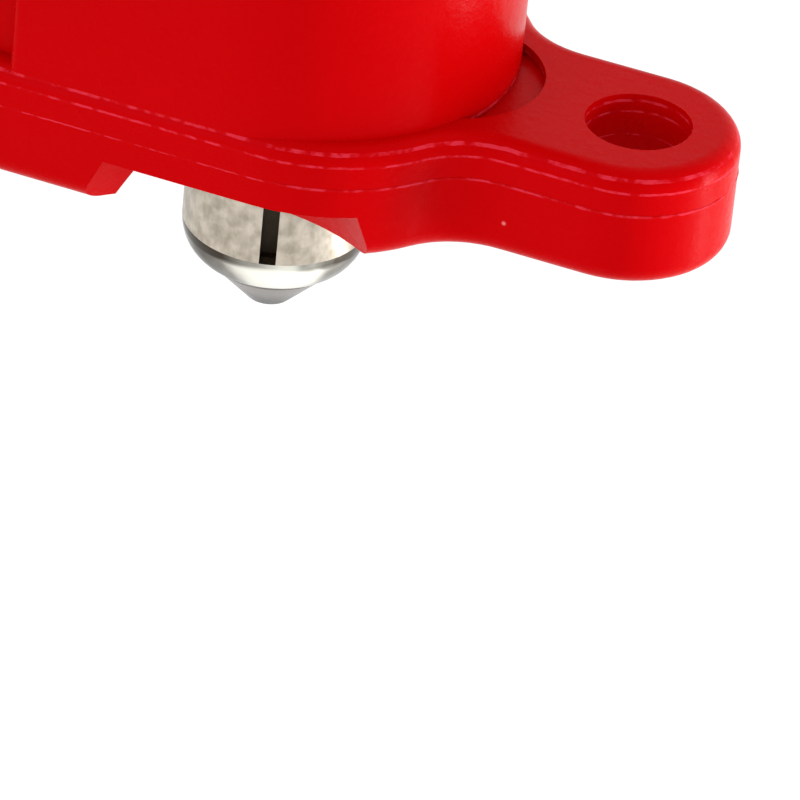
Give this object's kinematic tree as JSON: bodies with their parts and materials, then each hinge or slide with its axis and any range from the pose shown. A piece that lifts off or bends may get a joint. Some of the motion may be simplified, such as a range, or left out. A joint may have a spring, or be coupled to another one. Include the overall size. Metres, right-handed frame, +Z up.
{
  "type": "safety padlock",
  "caption": "Moulded lockout padlock with a steel shackle, an eared base with tie holes and an off-centre key cylinder below.",
  "frame": {"origin": "underside of the shackle's bow at its middle, where the lock hangs", "axes": "+X along the body towards the key cylinder, +Y from the front with the finger scoop to the back, +Z up"},
  "size_m": [0.0793, 0.0248, 0.1021],
  "materials": {
    "red_nylon": "moulded nylon, semi-matt, red",
    "black_rubber": "moulded rubber gasket",
    "zinc_steel": "zinc plated steel screws",
    "cast_case": "die-cast, as cast",
    "bright_steel": "hardened ground steel",
    "nickel": "satin nickel plate, finely scratched",
    "chrome_ring": "polished",
    "plug_nickel": "nickel plated brass, satin",
    "brass": "turned brass",
    "spring_steel": "drawn spring wire",
    "shackle_chrome": "chrome plated hardened steel"
  },
  "bodies": {
    "lock_body": {"body_shell": "red_nylon", "base_cover": "red_nylon", "barrel_seal": "black_rubber", "cover_screws": "zinc_steel", "case_lower": "cast_case", "case_upper": "cast_case", "case_screws": "zinc_steel", "heel_stop_pin": "bright_steel", "barrel_lock_pin": "bright_steel", "cylinder_housing": "nickel", "chamber_strip": "brass", "driver_pins": "brass", "pin_springs": "spring_steel", "nose_ring": "chrome_ring", "spring_seat": "brass", "shackle_spring": "spring_steel"},
    "shackle": {"shackle": "shackle_chrome"},
    "plug": {"plug": "plug_nickel", "key_pins": "brass", "plug_clip": "spring_steel", "cam": "bright_steel", "cam_screw": "zinc_steel"},
    "bolt": {"locking_bolt": "bright_steel"}
  },
  "joints": [
    {"name": "shackle_lift", "type": "slide", "parent": "lock_body", "child": "shackle", "axis": [0, 0, 1], "range_m": [0, 0.013], "stiffness_N_per_m": 60, "springref_m": 0.022, "deforming": ["shackle_spring"]},
    {"name": "plug_turn", "type": "hinge", "parent": "lock_body", "child": "plug", "pos_m": [0.01315, 0, -0.078], "axis": [0, 0, 1], "range_deg": [0, 90]},
    {"name": "bolt_slide", "type": "slide", "parent": "lock_body", "child": "bolt", "axis": [1, 0, 0], "range_m": [0, 0.0032]}
  ],
  "couplings": [
    {"joint": "plug_turn", "follows": "bolt_slide", "rad_per_m": 490.87}
  ]
}
